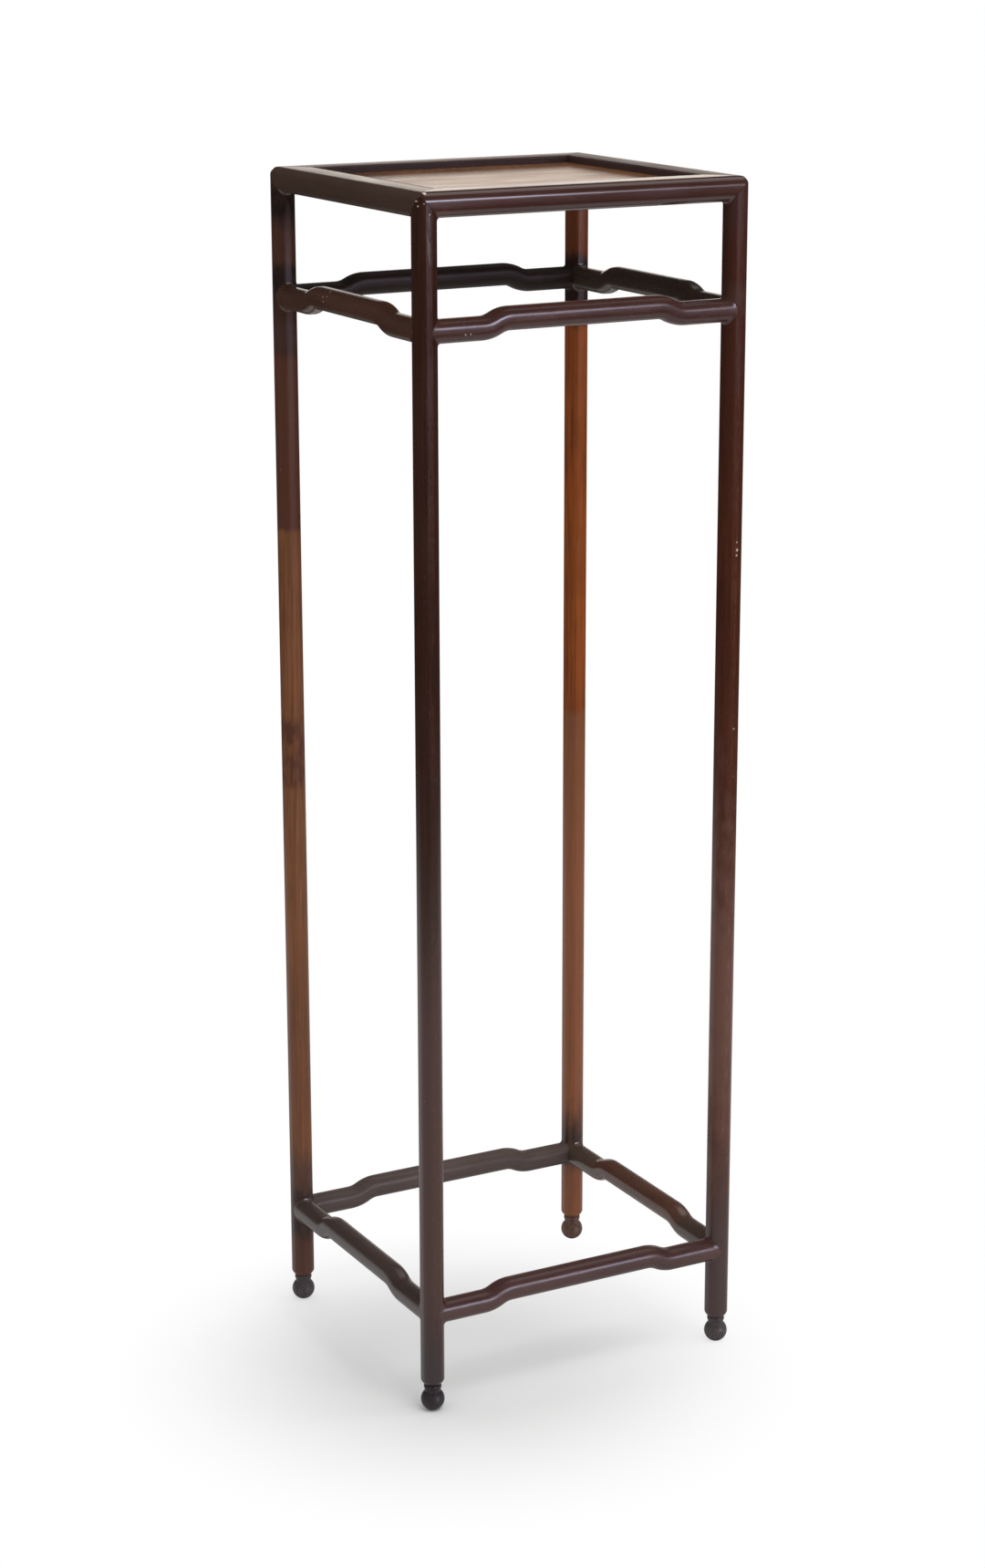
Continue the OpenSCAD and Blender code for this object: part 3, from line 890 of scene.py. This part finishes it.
def stretcher_tree():
    """Geometry Nodes for one stretcher: a rounded bar swept over a humpback line."""
    tree = bpy.data.node_groups.new("humpback_stretcher", "GeometryNodeTree")
    tree.is_modifier = True
    sockets = [("Geometry", "INPUT", "Geometry"), ("Geometry", "OUTPUT", "Geometry")]
    sockets += [(name, "INPUT", "Float") for name in STRETCHER_INPUTS]
    for name, way, kind in (*sockets, ("Wood", "INPUT", "Material")):
        tree.interface.new_socket(name, in_out=way, socket_type="NodeSocket" + kind)
    given = tree.nodes.new("NodeGroupInput")
    half_span, inset, height, turn, half, radius, start, run, rise, lip, cove_r, seam, arris = (
        Value(tree, given.outputs[name]) for name in STRETCHER_INPUTS
    )

    line = add(
        tree, "GeometryNodeCurvePrimitiveLine",
        Start=join(tree, -half_span, 0.0, 0.0), End=join(tree, half_span, 0.0, 0.0),
    )
    evenly = add(tree, "GeometryNodeResampleCurve", Curve=line, Count=STRETCHER_POINTS)
    x = split(tree, add(tree, "GeometryNodeInputPosition"))[0]
    crowded = 1.0 - (1.0 - abs(x / half_span)).highest(0.0).power(STRETCHER_CROWD)
    x = x.sign() * crowded * half_span
    into = (half_span - start - abs(x)).highest(0.0).lowest(run)
    near = into.lowest(run - into)
    turn_r = (run * run + rise * rise) / (rise * 4.0)
    swell = turn_r - (turn_r * turn_r - near * near).sqrt()
    first = into.below(run / 2.0)
    z = first * swell + (1.0 - first) * (rise - swell)
    humped = add(tree, "GeometryNodeSetPosition", Geometry=evenly, Position=join(tree, x, 0.0, z))
    upright = add(tree, "GeometryNodeSetCurveNormal", {"mode": "Z_UP"}, Curve=humped)
    square = add(tree, "GeometryNodeCurvePrimitiveQuadrilateral", Width=half * 2.0, Height=half * 2.0)
    rounded = add(
        tree, "GeometryNodeFilletCurve", {"mode": "POLY"},
        Curve=square, Count=EDGE_POINTS, Radius=radius, Limit_Radius=True,
    )
    bar = add(tree, "GeometryNodeCurveToMesh", Curve=upright, Profile_Curve=rounded)

    x, y, z = split(tree, add(tree, "GeometryNodeInputPosition"))
    away = (half_span - abs(x)).highest(0.0)
    core = half - radius
    out_y = (abs(y) - core).highest(0.0) / radius
    out_z = (abs(z) - core).highest(0.0) / radius
    left = (cove_r - away).highest(0.0)
    flare = (cove_r - (cove_r * cove_r - left * left).sqrt()) * out_z * out_z
    flare = flare - (1.0 - away / arris).highest(0.0) * arris
    in_end = away.below(start)
    y_new = y + y.sign() * out_y * flare * in_end
    z_new = z + z.sign() * out_z * flare * in_end
    bulge = (abs(y_new) - core).highest(0.0).lowest(radius)
    leg_half = core + (radius * radius - bulge * bulge).sqrt()
    reach = half - leg_half.highest(y_new) - seam
    x_new = x + x.sign() * reach * (1.0 - away / lip).highest(0.0)
    ends = add(tree, "GeometryNodeSetPosition", Geometry=bar, Position=join(tree, x_new, y_new, z_new))
    placed = add(tree, "GeometryNodeTransform", Geometry=ends, Translation=join(tree, 0.0, -inset, height))
    turned = add(tree, "GeometryNodeTransform", Geometry=placed, Rotation=join(tree, 0.0, 0.0, turn))
    smooth = add(tree, "GeometryNodeSetShadeSmooth", Geometry=turned)
    real = add(tree, "GeometryNodeRealizeInstances", Geometry=smooth)
    waxed = add(tree, "GeometryNodeSetMaterial", Geometry=real, Material=given.outputs["Wood"])
    add(tree, "NodeGroupOutput", Geometry=waxed)
    return tree


STRETCHER_INPUTS = (
    "Half span", "Inset", "Height", "Turn", "Half thickness", "Edge radius", "Straight end", "Bend",
    "Hump", "Lip", "Cove", "Seam", "Arris",
)


def plain_mesh(tree, name, values):
    """Runs a node tree with the given inputs, and returns its result as a plain mesh."""
    host = link(name, bpy.data.meshes.new(name))
    modifier = host.modifiers.new("Shape", "NODES")
    modifier.node_group = tree
    for item in tree.interface.items_tree:
        if item.name in values:
            modifier[item.identifier] = values[item.name]
    seen = host.evaluated_get(bpy.context.evaluated_depsgraph_get())
    mesh = bpy.data.meshes.new_from_object(seen)
    bpy.data.objects.remove(host)
    return mesh


def build_stretcher(tree, tier, height, side, turn):
    """A stretcher from the node tree, with its hollow ends closed"""
    s = sizes()
    span, across = spans(turn)[:2]
    name = tier + "_stretcher_" + side
    wood = stretcher_wood(tier, side, turn)
    values = dict(zip(STRETCHER_INPUTS, (
        span / 2 - s.leg_t, (across - s.stretcher_t) / 2, height, radians(turn), s.stretcher_t / 2,
        s.edge_r, s.hump_start, s.hump_run, s.hump_rise, s.lip_reach, s.cove_r, s.seam, s.arris,
    )), Wood=wood)
    mesh = plain_mesh(tree, name, values)
    bm = bmesh.new()
    bm.from_mesh(mesh)
    bpy.data.meshes.remove(mesh)
    bm.verts.ensure_lookup_table()
    around = sum(1 for edge in bm.edges if edge.is_boundary) // 2
    for ring in (bm.verts[:around], bm.verts[-around:]):
        close_hollow_end(bm, ring, height)
    finish_piece(bm, "waxed", name, wood)


# Roughness and specular level of the stretchers
STRETCHER_GLOSS = {
    "upper_front": (0.27, 0.4),
    "upper_left": (0.24, 0.5),
    "upper_back": (0.42, 0.12),
    "upper_right": (0.24, 0.5),
    "lower_front": (0.34, 0.45),
    "lower_left": (0.3, 0.5),
    "lower_back": (0.44, 0.2),
    "lower_right": (0.24, 0.5),
}


def stretcher_wood(tier, side, turn):
    """A stretcher's wood, with grey ends or chips on some, and a dull outer face on the right"""
    name = tier + "_" + side
    seed = STRETCHER_SEED + turn + len(tier + side)
    plank = Plank("stretcher_wood_" + name, getattr(colours(), name), spans(turn)[2], seed)
    plank.lay_grain(0.4, patch=0.45)
    if name == "lower_right":
        plank.tint(abs(plank.place[1]).climb(72 * MM, 92 * MM) * 0.7, (0.048, 0.036, 0.027))
    if name == "upper_left":
        for y, z in ((37, 995), (36, 991), (30, 1000), (29, 996)):
            plank.spot((None, y, z), 0.9, 0.5)
    if name == "upper_front":
        for x in (-119, -114):
            plank.spot((x, None, 981), 1.1, 0.45)
    if side == "right":
        half_width = sizes().width / 2
        plank.dull(plank.place[0].climb(half_width - 8 * MM, half_width - 4 * MM), 0.3)
    return plank.finish(*STRETCHER_GLOSS[name], bump=0.006)


def close_hollow_end(bm, ring, height):
    """Closes a bar's hollowed end with upright strips, each from a point to the one below it."""
    count = len(ring)
    start = ring[0].co
    mirrored = Vector((start.x, start.y, 2 * height - start.z))
    below = min(range(count), key=lambda i: (ring[i].co - mirrored).length)
    done = set()
    for i in range(count):
        strip = [i, (i + 1) % count, (below - i - 1) % count, (below - i) % count]
        if frozenset(strip) not in done:
            done.add(frozenset(strip))
            cap(bm, [ring[n] for n in strip])


class STAND_OT_tray(bpy.types.Operator):
    """The sunken panel and the batten below it, which keep their solids"""

    bl_idname = "stand.tray"
    bl_label = "Panel and batten"

    def execute(self, context):
        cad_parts["top_panel"].material_slots[0].material = panel_wood()
        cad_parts["panel_batten"].material_slots[0].material = batten_wood()
        return {"FINISHED"}


def panel_wood():
    """Warm brown with wide growth rings, darker towards the back left corner"""
    plank = Plank("panel_wood", colours().panel, "X", PANEL_SEED).lay_grain(1.1, 0.6, ring=5.2)
    x, y = plank.place[:2]
    plank.tint((y * 0.5 - x * 1.5).climb(90 * MM, 240 * MM) * 0.75, (0.05, 0.02, 0.011))
    return plank.finish(0.22)


def batten_wood():
    """Plain and matt"""
    plank = Plank("batten_wood", colours().batten, "Y", BATTEN_SEED).lay_grain(0.9, 0.5, ring=3.6)
    return plank.finish(0.6)


class STAND_OT_studio(bpy.types.Operator):
    """White floor, soft lamps and the camera"""

    bl_idname = "stand.studio"
    bl_label = "Studio"

    def execute(self, context):
        build_camera()
        build_floor()
        build_world()
        for lamp in LAMPS:
            build_lamp(*lamp)
        context.scene.view_settings.view_transform = "Standard"
        return {"FINISHED"}


def build_camera():
    """A camera that looks at its aim from the given direction and distance"""
    look = studio()
    lens = bpy.data.cameras.new("camera")
    lens.lens = look.lens
    camera = link("camera", lens)
    back = toward(look.azimuth, look.elevation)
    place = aimed(Vector((look.aim_x, 0, look.aim_z)), back, look.distance)
    camera.matrix_world = place @ Matrix.Rotation(look.roll, 4, "Z")
    bpy.context.scene.camera = camera


def aimed(aim, back, distance):
    """A place that far back from its aim, turned to look at it"""
    right = (-back).cross(Vector((0, 0, 1))).normalized()
    axes = Matrix((right, right.cross(-back), back)).transposed().to_4x4()
    return Matrix.Translation(aim + back * distance) @ axes


def toward(azimuth, elevation):
    """The direction from the stand to a place round it"""
    return Vector((sin(azimuth) * cos(elevation), -cos(azimuth) * cos(elevation), sin(elevation)))


def build_floor():
    """A wide pale floor, white to the camera but for the shadow, and dark far off in reflections"""
    bm = bmesh.new()
    bmesh.ops.create_grid(bm, x_segments=8, y_segments=8, size=FLOOR_HALF)
    mesh = bpy.data.meshes.new("studio_floor")
    bm.to_mesh(mesh)
    bm.free()
    floor = link("studio_floor", mesh)
    material = bpy.data.materials.new("studio_floor")
    material.use_nodes = True
    tree = material.node_tree
    tree.nodes.clear()
    x, y = split(tree, add(tree, "ShaderNodeTexCoord").outputs["Object"])[:2]
    away = (x * x + y * y).sqrt()
    rays = add(tree, "ShaderNodeLightPath").outputs
    near = ((x - SHADE_MIDDLE[0]).power(2.0) + (y - SHADE_MIDDLE[1]).power(2.0)).sqrt()
    paper = add(tree, "ShaderNodeBsdfDiffuse", Color=grey(studio().paper))
    gloom = add(tree, "ShaderNodeBsdfDiffuse", Color=grey(GLOOM))
    white = add(tree, "ShaderNodeEmission", Strength=1.0)
    dim = mix_shaders(tree, away.climb(*GLOOM_FADE) * Value(tree, rays["Is Glossy Ray"]), paper, gloom)
    shown = mix_shaders(tree, near.climb(*SHADE_FADE) * Value(tree, rays["Is Camera Ray"]), dim, white)
    add(tree, "ShaderNodeOutputMaterial", Surface=shown)
    mesh.materials.append(material)


def mix_shaders(tree, share, first, second):
    """The first shader where the share is 0, the second where it is 1"""
    node = tree.nodes.new("ShaderNodeMixShader")
    feed(tree, share, node.inputs[0])
    feed(tree, first, node.inputs[1])
    feed(tree, second, node.inputs[2])
    return node


def build_world():
    """White to the camera and even light for the wood. Reflections show a dark room with a window
    and, behind the stand, a lit backdrop."""
    look = studio()
    world = bpy.data.worlds.new("studio")
    bpy.context.scene.world = world
    world.use_nodes = True
    tree = world.node_tree
    tree.nodes.clear()
    way = split(tree, add(tree, "ShaderNodeTexCoord").outputs["Generated"])

    def patch(azimuth, elevation, inner, outer):
        """1 in a round patch of the room's walls, fading to 0 between two angles from its middle"""
        middle = toward(azimuth, elevation)
        near = way[0] * middle.x + way[1] * middle.y + way[2] * middle.z
        return near.climb(cos(radians(outer)), cos(radians(inner)))

    band = way[2].climb(0.0, 0.05) * (-way[2]).climb(-0.22, -0.07)
    backdrop = patch(look.azimuth + pi, radians(5), inner=12, outer=28) * band
    window = patch(look.window_azimuth, look.window_elevation, inner=3, outer=11)
    window = window * way[2].climb(-0.03, 0.06)
    ceiling = patch(radians(100), radians(60), inner=8, outer=26)
    lit = backdrop * look.backdrop + window * look.window + ceiling * look.ceiling + look.room
    rays = add(tree, "ShaderNodeLightPath").outputs
    camera = Value(tree, rays["Is Camera Ray"])
    glossy = Value(tree, rays["Is Glossy Ray"])
    strength = camera + (1.0 - camera) * (glossy * lit + (1.0 - glossy) * look.sky)
    tint = blend(tree, glossy * window, grey(1.0), WINDOW_TINT)
    tint = blend(tree, glossy * backdrop, tint, BACKDROP_TINT)
    back = add(tree, "ShaderNodeBackground", Color=tint, Strength=strength)
    add(tree, "ShaderNodeOutputWorld", Surface=back)


# Lamps: name, azimuth and elevation in degrees, distance, size, level at the stand and colour
LAMPS = (
    ("front_top", 8, 60, 6.0, 2.6, 0.33, (1.0, 1.0, 1.0)),
    ("right_fill", 62, 12, 3.0, 1.4, 0.2, (1.0, 0.98, 0.96)),
)
# The lamps aim at this share of the stand's height
LAMP_AIM = 0.6


def build_lamp(name, azimuth, elevation, distance, size, strength, tint):
    """A soft lamp that lights the wood but isn't mirrored in it"""
    lamp = bpy.data.lights.new(name, "AREA")
    lamp.size = size
    lamp.energy = strength * pi**2 * distance**2
    lamp.color = tint
    holder = link(name, lamp)
    holder.visible_glossy = False
    aim = Vector((0, 0, sizes().height * LAMP_AIM))
    holder.matrix_world = aimed(aim, toward(radians(azimuth), radians(elevation)), distance)


class STAND_PT_sidebar(bpy.types.Panel):
    """Lists the pieces, the colours and the sizes"""

    bl_idname = "STAND_PT_sidebar"
    bl_label = "Incense Stand"
    bl_space_type = "VIEW_3D"
    bl_region_type = "UI"
    bl_category = "Stand"

    def draw(self, context):
        column = self.layout.column(align=True)
        for operator in OPERATORS:
            column.operator(operator.bl_idname)
        for setting, group in SETTINGS.items():
            box = self.layout.box()
            for name in group.__annotations__:
                box.prop(getattr(context.scene, setting), name)


OPERATORS = (
    STAND_OT_studio, STAND_OT_legs, STAND_OT_feet, STAND_OT_rails, STAND_OT_stretchers, STAND_OT_tray,
)
CLASSES = (*SETTINGS.values(), *OPERATORS, STAND_PT_sidebar)


def register():
    for each in CLASSES:
        bpy.utils.register_class(each)
    for setting, group in SETTINGS.items():
        setattr(bpy.types.Scene, setting, bpy.props.PointerProperty(type=group))


def unregister():
    for setting in reversed(SETTINGS):
        delattr(bpy.types.Scene, setting)
    for each in reversed(CLASSES):
        bpy.utils.unregister_class(each)


def main():
    """Builds the stand and its studio around the frame."""
    register()
    bpy.ops.stand.studio()
    bpy.ops.stand.legs()
    bpy.ops.stand.feet()
    bpy.ops.stand.rails()
    bpy.ops.stand.stretchers()
    bpy.ops.stand.tray()


if __name__ == "__main__":
    main()
